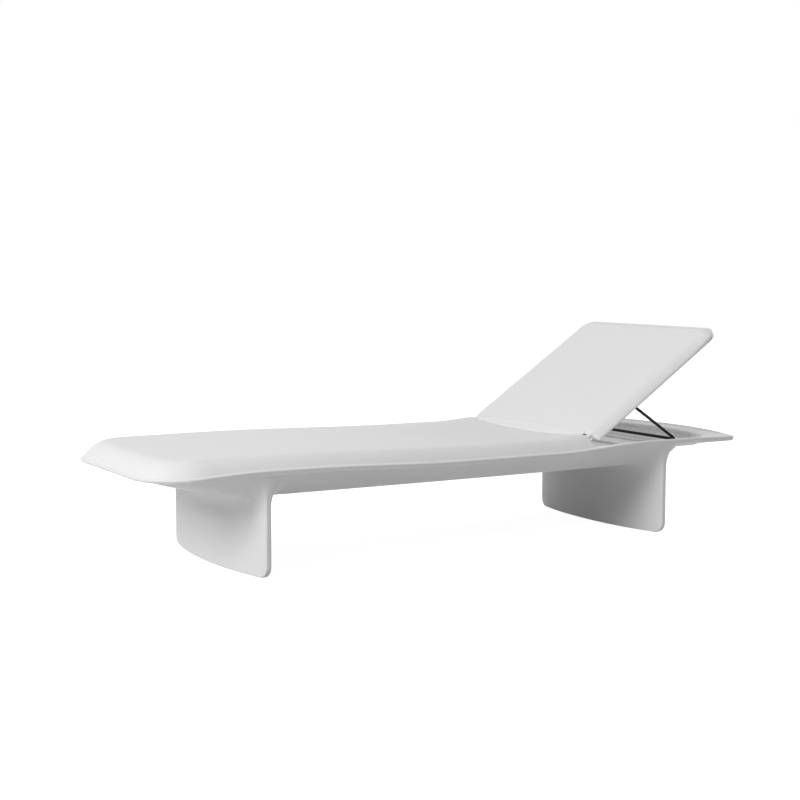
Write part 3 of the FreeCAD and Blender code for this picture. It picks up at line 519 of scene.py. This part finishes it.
# %% Deck
SEAT_LINE = [(-0.95, 0.334), (-0.62, 0.334), (0.08, 0.3215), (0.24, 0.3212), (0.38, 0.3290)]
SHOULDER_RUN, FOOT_RUN, RIM_LEDGE = 0.056, 0.070, 0.006
SEAT_DISH, DISH_HALF = 0.013, 0.300
ROLL, ROLL_LIP, ROLL_GAP, SEAT_END = 0.016, 0.020, 0.0014, 0.388
NOSE_HALF, KNUCKLE, KNUCKLE_HALF = 0.290, 0.009, 0.316
RIM_ROUND, TRAY_LIP = 0.004, 0.014


def lip(y):
    """How far the face of the back runs past the hinge axis."""
    return ROLL_LIP * np.maximum(1 - (y / DISH_HALF) ** 2, 0.0)


def roll_radius(y):
    """Radius of the round nose at the foot of the back."""
    return np.sqrt(ROLL**2 + lip(y) ** 2)


def seat_face(x, y):
    """Height of the lying surface, and how steep its shoulder is there."""
    run = SHOULDER_RUN + (FOOT_RUN - SHOULDER_RUN) * ease((-0.86 - x) / 0.10)
    t = np.minimum((-plan(x, y) - RIM_LEDGE) / run, 1.0)
    rim = RIM_TOP + lift(x)
    dish = SEAT_DISH * ease((x + 0.12) / 0.50) * np.maximum(1 - (y / DISH_HALF) ** 2, 0.0)
    rise = along(x, SEAT_LINE) - dish - rim
    return rim + rise * (1 - (1 - t) ** 2), 2 * rise * (1 - np.maximum(t, 0.0)) / run


def deck_rule(x, y, z):
    outline = plan(x, y)
    edge = ease((outline + 0.030) / 0.022)
    raised = lift(x) * np.where(x < 0.39, 1.0, edge)
    half_band = band(x) / 2
    middle = RIM_TOP - half_band + raised
    tuck = 0.5 * np.maximum(middle + half_band - RIM_ROUND - z, 0.0)
    slab = corner((outline + tuck) * 0.9, np.abs(z - middle) - half_band, RIM_ROUND)
    face, steep = seat_face(x, y)
    seat = (z - face) / np.sqrt(1 + steep * steep)
    seat = np.maximum(seat, RIM_TOP - 2 * half_band + raised - z)
    seat = np.maximum(seat, outline + RIM_ROUND)
    seat = soft_max(seat, x - SEAT_END, 0.010)
    from_axis = np.hypot(x - hinge.x, z - hinge.z) - ROLL_GAP
    wide = np.maximum(from_axis - roll_radius(y), np.abs(y) - NOSE_HALF - ROLL_GAP)
    small = np.maximum(from_axis - KNUCKLE, np.abs(y) - KNUCKLE_HALF - ROLL_GAP)
    pocket = np.minimum(wide, small)
    seat = soft_max(seat, -pocket, 0.003)
    slab = np.maximum(slab, -pocket)
    deck = soft_min(slab, seat, 0.003)
    well = tray_skin(x, y, z)
    deck = soft_max(deck, -well, TRAY_LIP)
    pan = np.maximum(tray_skin(x, y, z, TRAY_WALL), z - (RIM_TOP - 0.010))
    return np.minimum(deck, np.maximum(pan, -well))


deck_lines = (
    steps((-1.034, -0.93, 0.004), (-0.93, 0.34, 0.014), (0.34, 0.45, 0.0028), (0.45, 0.875, 0.012),
          (0.875, 1.036, 0.004)),
    mirrored(steps((0.0, 0.282, 0.0135), (0.282, 0.372, 0.0033))),
    steps((0.252, 0.348, 0.003)),
)
deck = moulding("deck", deck_rule, deck_lines, to_head)
deck.data.materials.append(white_shell)
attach(deck, "base")
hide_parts("deck_shell")

# %% [markdown]
# ## Back
#
# The back is a flat panel whose edges roll down to a thin lip. Its foot ends in a round nose that turns in
# the pocket of the seat, with a small knuckle at each side. Below, a recess takes the liner, and two notches
# leave room for the hinge lugs. The rule is written in the panel's own directions, along it and square to
# it, and the finished points are turned to the angle at which the back stands.

# %% Back
BACK_LENGTH, BACK_FOOT_HALF, BACK_HEAD_HALF, BACK_CORNER = 0.596, 0.338, 0.334, 0.057
BACK_ROLL_RUN, BACK_ROLL_DROP, BACK_TOP_DROP, BACK_UNDER = 0.046, 0.027, 0.020, -0.017
FOOT_SETBACK, KNUCKLE_REACH = 0.014, 0.030
LINER_EDGE, LINER_START, LINER_FACE = 0.0083, 0.0255, -0.0135
NOTCH_MIDDLE, NOTCH_HALF, NOTCH_ROOM, NOTCH_FROM, NOTCH_TO = 0.28425, 0.01475, 0.0125, -214, -38
RECLINE = math.radians(-joints["recline"]["range_deg"][0])


def back_half(u):
    return BACK_FOOT_HALF - (BACK_FOOT_HALF - BACK_HEAD_HALF) * u / BACK_LENGTH


def back_rule(u, y, n):
    outline = corner(np.abs(y) - back_half(u), u - BACK_LENGTH, BACK_CORNER)
    t = np.clip(-outline / BACK_ROLL_RUN, -0.2, 1.0)
    drop = BACK_ROLL_DROP + (BACK_TOP_DROP - BACK_ROLL_DROP) * ease((u - 0.42) / 0.15)
    top = ROLL - drop * (1 - t) ** 2
    steep = 2 * drop * (1 - t) / BACK_ROLL_RUN
    face = (n - top) / np.sqrt(1 + steep * steep)
    panel = corner(outline, soft_max(face, BACK_UNDER - n, 0.003), 0.0035)
    foot_line = FOOT_SETBACK * ease((np.abs(y) - NOSE_HALF + 0.008) / 0.010)
    panel = corner(panel, foot_line - u, 0.009)
    nose = soft_max(np.hypot(u, n) - roll_radius(y), face, 0.003)
    nose = corner(nose, np.abs(y) - NOSE_HALF, 0.004)
    knuckle = np.maximum(np.hypot(np.minimum(u, 0.0), n) - KNUCKLE, u - KNUCKLE_REACH)
    knuckle = corner(knuckle, np.abs(y) - KNUCKLE_HALF, 0.003)
    knuckle = np.maximum(knuckle, NOSE_HALF - 0.010 - np.abs(y))
    shell = soft_min(soft_min(panel, nose, 0.004), knuckle, 0.003)
    recess = np.maximum(np.maximum(outline + LINER_EDGE, LINER_START - u), n - LINER_FACE)
    shell = np.maximum(shell, -recess)
    turn = np.degrees(np.arctan2(n, u))
    turn = np.where(turn > 100, turn - 360, turn)
    web = np.maximum(NOTCH_FROM - turn, turn - NOTCH_TO) * 2e-4
    room = np.minimum(np.hypot(u, n) - NOTCH_ROOM, web)
    notch = np.maximum(np.abs(np.abs(y) - NOTCH_MIDDLE) - NOTCH_HALF, room)
    return np.maximum(shell, -notch)


def to_taper(u, y, n):
    """Bend grid lines along the tapered sides of the back."""
    return u, y * back_half(u) / BACK_FOOT_HALF, n


def recline(points, direction=False):
    """Turn points, or directions, from the panel's own axes to the angle at which it stands."""
    u, y, n = points.T
    cos, sin = math.cos(RECLINE), math.sin(RECLINE)
    turned = np.stack([u * cos - n * sin, y, u * sin + n * cos], axis=1)
    return turned if direction else turned + np.array(hinge)


back_lines = (
    steps((-0.032, 0.040, 0.0024), (0.040, 0.515, 0.014), (0.515, 0.608, 0.0025)),
    mirrored(steps((0.0, 0.252, 0.0126), (0.252, 0.344, 0.0025))),
    steps((-0.030, 0.020, 0.0022)),
)
back = moulding("back", back_rule, back_lines, to_taper, recline)
back.data.materials.append(white_shell)
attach(back, "backrest")
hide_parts("backrest_shell")

# %% [markdown]
# ## Hinge lugs
#
# Two lugs stand up from the tray floor and carry the hinge. Each is a stem with a round head and a bore for
# its bush. On the real deck they are moulded in one with the tray, so each stem runs into its floor.

# %% Hinge lugs
LUG_MIDDLE, LUG_HALF, LUG_RADIUS, LUG_BORE = 0.285, 0.013, 0.0095, 0.0056
LUG_EDGE, LUG_ROOT = 0.002, 0.002


def lug_rule(x, y, z):
    beside, above = x - hinge.x, z - hinge.z
    stem = np.hypot(beside, np.maximum(above, 0.0)) - LUG_RADIUS
    sides = np.abs(np.abs(y) - LUG_MIDDLE) - LUG_HALF
    lug = corner(stem, sides, LUG_EDGE)
    lug = np.maximum(lug, TRAY_FLOOR - LUG_ROOT - z)
    return np.maximum(lug, LUG_BORE - np.hypot(beside, above))


def unbent(x, y, z):
    return x, y, z


lug_lines = (
    steps((hinge.x - 0.0125, hinge.x + 0.0125, 0.0009)),
    mirrored(steps((0.269, 0.301, 0.0012))),
    steps((TRAY_FLOOR - 0.006, hinge.z - 0.010, 0.003), (hinge.z - 0.010, hinge.z + 0.012, 0.0009)),
)
lugs = moulding("hinge_lugs", lug_rule, lug_lines, unbent)
lugs.data.materials.append(white_shell)
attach(lugs, "base")

# %% [markdown]
# ## Pieces from a node tree
#
# What repeats, or follows a path, is quickest as Geometry Nodes. The tree is built here with the same `Wire`,
# its sizes are named inputs, and the finished shape becomes a plain mesh that can ride on a body.

# %% Node tree helpers
def node_tree(name, sizes):
    """A geometry tree with named inputs. Gives the tree, a wire for each input and the identifiers."""
    tree = bpy.data.node_groups.new(name, "GeometryNodeTree")
    tree.interface.new_socket("Geometry", in_out="INPUT", socket_type="NodeSocketGeometry")
    tree.interface.new_socket("Geometry", in_out="OUTPUT", socket_type="NodeSocketGeometry")
    keys = {}
    for label, value in sizes.items():
        kind = "NodeSocketInt" if isinstance(value, int) else "NodeSocketFloat"
        keys[label] = tree.interface.new_socket(label, in_out="INPUT", socket_type=kind).identifier
    entry = tree.nodes.new("NodeGroupInput")
    wires = {socket.name: Wire(tree, socket) for socket in entry.outputs if socket.name}
    return tree, wires, keys


def plain_piece(name, tree, keys, sizes, geometry, material, seed_mesh=None):
    """Run a tree on a mesh and keep the result as a plain mesh object."""
    start = geometry.node("GeometryNodeSetShadeSmooth", None, {"Geometry": geometry})
    start = start.node("GeometryNodeRealizeInstances", None, {"Geometry": start})
    start = start.node("GeometryNodeSetMaterial", None, {"Geometry": start, "Material": material})
    start.node("NodeGroupOutput", None, {"Geometry": start})
    seed = bpy.data.objects.new(name + "_seed", seed_mesh or bpy.data.meshes.new(name + "_seed"))
    bpy.context.scene.collection.objects.link(seed)
    modifier = seed.modifiers.new("shape", "NODES")
    modifier.node_group = tree
    for label, value in sizes.items():
        modifier[keys[label]] = value
    bpy.context.view_layer.update()
    shown = seed.evaluated_get(bpy.context.evaluated_depsgraph_get())
    mesh = bpy.data.meshes.new_from_object(shown)
    mesh.name = name
    bpy.data.objects.remove(seed)
    piece = bpy.data.objects.new(name, mesh)
    bpy.context.scene.collection.objects.link(piece)
    print(name, len(mesh.vertices), "points", len(mesh.polygons), "faces")
    return piece


# %% [markdown]
# ## Rack
#
# Half-round ridges run across the tray floor, one for each angle of the back. One ridge is a line with a
# round section; the tree sets it on a row of points along the tray.

# %% Rack ridges
ridge_sizes = {
    "Count": 3, "First": 0.855, "Pitch": 0.121, "Half length": 0.262, "Radius": 0.005, "Floor": TRAY_FLOOR,
}
tree, wire, keys = node_tree("rack", ridge_sizes)
entry = wire["Geometry"]
first = entry.node("ShaderNodeCombineXYZ", None, {"X": wire["First"], "Z": wire["Floor"]})
back_step = entry.node("ShaderNodeCombineXYZ", None, {"X": -1.0 * wire["Pitch"]})
row = entry.node(
    "GeometryNodeMeshLine", {"mode": "OFFSET"},
    {"Count": wire["Count"], "Start Location": first, "Offset": back_step},
)
near_end = entry.node("ShaderNodeCombineXYZ", None, {"Y": -1.0 * wire["Half length"]})
far_end = entry.node("ShaderNodeCombineXYZ", None, {"Y": wire["Half length"]})
line = entry.node("GeometryNodeCurvePrimitiveLine", None, {"Start": near_end, "End": far_end})
line = entry.node("GeometryNodeResampleCurve", None, {"Curve": line, "Count": 65})
share = entry.node("GeometryNodeSplineParameter", out=0)
from_end = entry.node("ShaderNodeMath", {"operation": "MINIMUM"}, {0: share, 1: 1.0 - share})
round_end = entry.node(
    "ShaderNodeMath", {"operation": "POWER", "use_clamp": True}, {0: 40.0 * from_end, 1: 0.5}
)
line = entry.node("GeometryNodeSetCurveRadius", None, {"Curve": line, "Radius": round_end})
section = entry.node("GeometryNodeCurvePrimitiveCircle", None, {"Resolution": 24, "Radius": wire["Radius"]})
bar = entry.node(
    "GeometryNodeCurveToMesh", None,
    {"Curve": line, "Profile Curve": section, "Scale": round_end, "Fill Caps": True},
)
ridges = entry.node("GeometryNodeInstanceOnPoints", None, {"Points": row, "Instance": bar})
rack = plain_piece("rack_ridges", tree, keys, ridge_sizes, ridges, white_shell)
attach(rack, "base")

# %% [markdown]
# ## Prop bail
#
# The prop is one steel rod, bent four times: two short ends turn in the brackets, two arms run down, and the
# crossbar lies in the rack. A path of straight lines is rounded at its bends, and a round section follows it.

# %% Prop bail
rod_low, rod_high = (Vector(point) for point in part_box("prop_bail"))
ROD_RADIUS, BEND_RADIUS, ARM_SIDE = 0.005, 0.018, 0.216
crossbar = Vector((2 * pivot.x - hinge.x, 0.0, rod_low.z + ROD_RADIUS))
path = [
    (pivot.x, rod_low.y, pivot.z), (pivot.x, -ARM_SIDE, pivot.z), (crossbar.x, -ARM_SIDE, crossbar.z),
    (crossbar.x, ARM_SIDE, crossbar.z), (pivot.x, ARM_SIDE, pivot.z), (pivot.x, rod_high.y, pivot.z),
]
path_mesh = bpy.data.meshes.new("bail_path")
path_mesh.from_pydata(path, [(step, step + 1) for step in range(len(path) - 1)], [])
bail_sizes = {"Radius": ROD_RADIUS, "Bend": BEND_RADIUS}
tree, wire, keys = node_tree("bent_rod", bail_sizes)
entry = wire["Geometry"]
curve = entry.node("GeometryNodeMeshToCurve", None, {"Mesh": entry})
bent = entry.node(
    "GeometryNodeFilletCurve", {"mode": "POLY"}, {"Curve": curve, "Radius": wire["Bend"], "Count": 14}
)
section = entry.node("GeometryNodeCurvePrimitiveCircle", None, {"Resolution": 32, "Radius": wire["Radius"]})
rod = entry.node(
    "GeometryNodeCurveToMesh", None, {"Curve": bent, "Profile Curve": section, "Fill Caps": True}
)
bail = plain_piece("bent_bail", tree, keys, bail_sizes, rod, finishes["black_rod"], path_mesh)
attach(bail, "bail")
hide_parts("prop_bail")

# %% [markdown]
# ## Floor and light
#
# A white studio: a wide pale floor that takes the lounger's shadow, a broad light at the foot end, soft ones
# from the far side and from above, and a low one at the head. The camera, and rays off a glossy face, see a
# plain white world behind the floor. The light that falls on the lounger from that world is much weaker.

# %% Floor
def seen_white(start):
    """One for rays that look at the studio: from the camera, off a glossy face or through a clear one."""
    camera_ray = start.node("ShaderNodeLightPath", out="Is Camera Ray")
    glossy_ray = start.node("ShaderNodeLightPath", out="Is Glossy Ray")
    through_ray = start.node("ShaderNodeLightPath", out="Is Transmission Ray")
    either = start.node("ShaderNodeMath", {"operation": "MAXIMUM"}, {0: camera_ray, 1: glossy_ray})
    return start.node("ShaderNodeMath", {"operation": "MAXIMUM"}, {0: either, 1: through_ray})


def white_floor():
    material = bpy.data.materials.new("studio_floor")
    material.use_nodes = True
    tree = material.node_tree
    tree.nodes.clear()
    start = Wire(tree)
    direct = seen_white(start)
    paint = start.node("ShaderNodeBsdfDiffuse", None, {"Color": (0.64, 0.64, 0.64, 1.0)})
    glow = start.node("ShaderNodeEmission", None, {"Color": (1.0, 1.0, 1.0, 1.0), "Strength": 0.87})
    both = start.node("ShaderNodeAddShader", None, {0: paint, 1: glow})
    mixed = start.node("ShaderNodeMixShader", None, {0: direct, 1: paint, 2: both})
    start.node("ShaderNodeOutputMaterial", None, {"Surface": mixed})
    return material


FLOOR_HALF = 40
floor_mesh = bpy.data.meshes.new("floor")
floor_corners = [(FLOOR_HALF * x, FLOOR_HALF * y, 0) for x, y in ((-1, -1), (1, -1), (1, 1), (-1, 1))]
floor_mesh.from_pydata(floor_corners, [], [(0, 1, 2, 3)])
floor_mesh.materials.append(white_floor())
floor = bpy.data.objects.new("floor", floor_mesh)
bpy.context.scene.collection.objects.link(floor)
print("floor", [round(side) for side in floor.dimensions])

# %% World and lamps
def white_world(strength):
    world = bpy.data.worlds.new("studio")
    world.use_nodes = True
    tree = world.node_tree
    tree.nodes.clear()
    start = Wire(tree)
    direct = seen_white(start)
    fill = start.node("ShaderNodeBackground", None, {"Color": (1.0, 1.0, 1.0, 1.0), "Strength": strength})
    white = start.node("ShaderNodeBackground", None, {"Color": (1.0, 1.0, 1.0, 1.0), "Strength": 1.0})
    mixed = start.node("ShaderNodeMixShader", None, {0: direct, 1: fill, 2: white})
    start.node("ShaderNodeOutputWorld", None, {"Surface": mixed})
    bpy.context.scene.world = world


def softbox(name, place, target, width, height, power):
    lamp = bpy.data.lights.new(name, "AREA")
    lamp.shape = "RECTANGLE"
    lamp.size = width
    lamp.size_y = height
    lamp.energy = power
    made = bpy.data.objects.new(name, lamp)
    made.location = place
    made.rotation_euler = (Vector(target) - Vector(place)).to_track_quat("-Z", "Y").to_euler()
    bpy.context.scene.collection.objects.link(made)
    print(name, power, "W")


WORLD_FILL, MIDDLE = 0.24, (0.0, 0.0, 0.2)
white_world(WORLD_FILL)
softbox("foot_light", (-7.0, -2.6, 4.4), MIDDLE, 3.0, 3.0, 385.0)
softbox("far_light", (-4.9, 2.2, 7.2), MIDDLE, 3.0, 3.0, 105.0)
softbox("top_light", (0.3, 0.2, 5.0), (0.3, 0.0, 0.3), 3.0, 2.0, 26.0)
softbox("head_light", (4.4, 0.9, 1.4), (0.7, 0.0, 0.3), 2.4, 1.2, 72.0)
